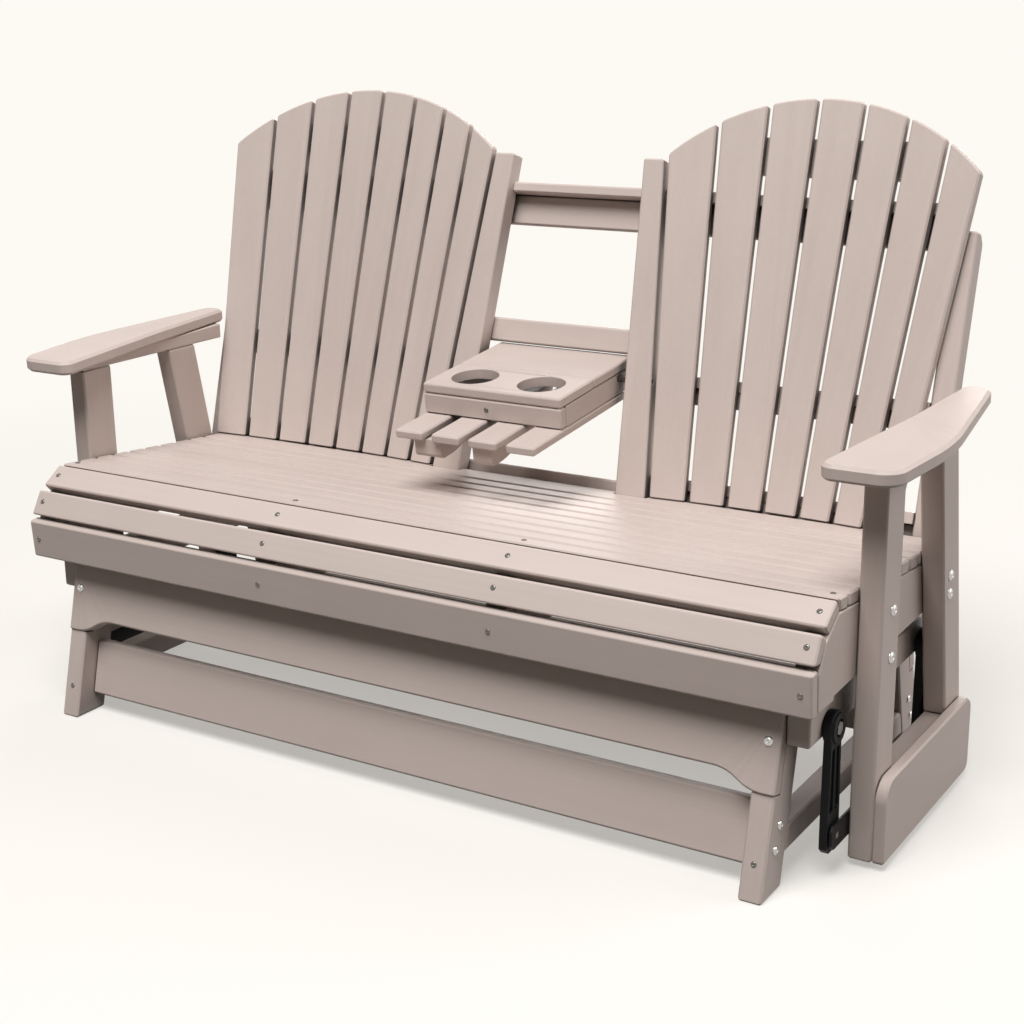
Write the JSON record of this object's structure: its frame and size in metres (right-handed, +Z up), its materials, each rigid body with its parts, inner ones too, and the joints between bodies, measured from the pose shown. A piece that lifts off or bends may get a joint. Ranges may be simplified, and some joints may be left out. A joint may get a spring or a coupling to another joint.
{
  "type": "glider bench",
  "caption": "Garden glider bench with fan-shaped slatted backs, wide arms, a fold-up console with cup holes, and a seat that swings on cast links below a splayed base.",
  "frame": {"origin": "on the floor under the middle of the bounding box", "axes": "+X along the bench to the viewer's right, the front looks to -Y, +Z up"},
  "size_m": [1.7222, 0.772, 1.1007],
  "materials": {
    "lumber": "matt, fine grain lines",
    "link": "black powder coat on a casting",
    "strap": "black powder coat",
    "stainless": "satin",
    "bush": "satin"
  },
  "bodies": {
    "base": {"base_leg_front_right": "lumber", "base_leg_front_left": "lumber", "base_leg_rear_right": "lumber", "base_leg_rear_left": "lumber", "base_apron_front": "lumber", "base_apron_rear": "lumber", "base_stretcher_front": "lumber", "base_stretcher_rear": "lumber", "base_lower_rail_right": "lumber", "base_lower_rail_left": "lumber", "base_upper_rail_right": "lumber", "base_upper_rail_left": "lumber", "upper_pivot_bolts": "stainless"},
    "seat": {"lower_pivot_bolts": "stainless", "glide_straps": "strap", "front_post_right": "lumber", "front_post_left": "lumber", "bottom_rail_right": "lumber", "bottom_rail_left": "lumber", "rear_post_right": "lumber", "rear_post_left": "lumber", "side_board_right": "lumber", "side_board_left": "lumber", "arm_cleat_right": "lumber", "arm_cleat_left": "lumber", "arm_right": "lumber", "arm_left": "lumber", "seat_rail_right": "lumber", "seat_rail_left": "lumber", "seat_inner_rails": "lumber", "seat_apron_slat": "lumber", "seat_nose_slat_lower": "lumber", "seat_nose_slat_upper": "lumber", "seat_flat_slats": "lumber", "centre_post_right": "lumber", "centre_post_left": "lumber", "outer_upright_right": "lumber", "outer_upright_left": "lumber", "fan_slats_right": "lumber", "fan_slats_left": "lumber", "back_mid_rail": "lumber", "back_top_rail": "lumber", "back_low_rail": "lumber", "back_cap_strip": "lumber", "back_battens": "lumber", "console_pivot_pins": "stainless"},
    "console": {"console_top_front": "lumber", "console_top_rear": "lumber", "console_front_board": "lumber", "console_side_boards": "lumber", "console_slats": "lumber", "console_rest_blocks": "lumber"},
    "link_front_left": {"link_front_left": "link", "link_front_left_bushes": "bush"},
    "link_front_right": {"link_front_right": "link", "link_front_right_bushes": "bush"},
    "link_rear_left": {"link_rear_left": "link", "link_rear_left_bushes": "bush"},
    "link_rear_right": {"link_rear_right": "link", "link_rear_right_bushes": "bush"}
  },
  "joints": [
    {"name": "glide", "type": "hinge", "parent": "base", "child": "link_front_right", "pos_m": [0, -0.24876, 0.242], "axis": [1, 0, 0], "range_deg": [-18, 18]},
    {"name": "seat_swing", "type": "hinge", "parent": "link_front_right", "child": "seat", "pos_m": [0, -0.24876, 0.07], "axis": [1, 0, 0], "range_deg": [-18, 18]},
    {"name": "link_front_left_swing", "type": "hinge", "parent": "base", "child": "link_front_left", "pos_m": [0, -0.24876, 0.242], "axis": [1, 0, 0], "range_deg": [-18, 18]},
    {"name": "link_rear_right_swing", "type": "hinge", "parent": "base", "child": "link_rear_right", "pos_m": [0, 0.14824, 0.242], "axis": [1, 0, 0], "range_deg": [-18, 18]},
    {"name": "link_rear_left_swing", "type": "hinge", "parent": "base", "child": "link_rear_left", "pos_m": [0, 0.14824, 0.242], "axis": [1, 0, 0], "range_deg": [-18, 18]},
    {"name": "console_fold", "type": "hinge", "parent": "seat", "child": "console", "pos_m": [0, 0.22008, 0.61182], "axis": [-1, 0, 0], "range_deg": [0, 112]}
  ],
  "couplings": [
    {"joint": "seat_swing", "follows": "glide", "ratio": -1},
    {"joint": "link_front_left_swing", "follows": "glide", "ratio": 1},
    {"joint": "link_rear_right_swing", "follows": "glide", "ratio": 1},
    {"joint": "link_rear_left_swing", "follows": "glide", "ratio": 1}
  ]
}
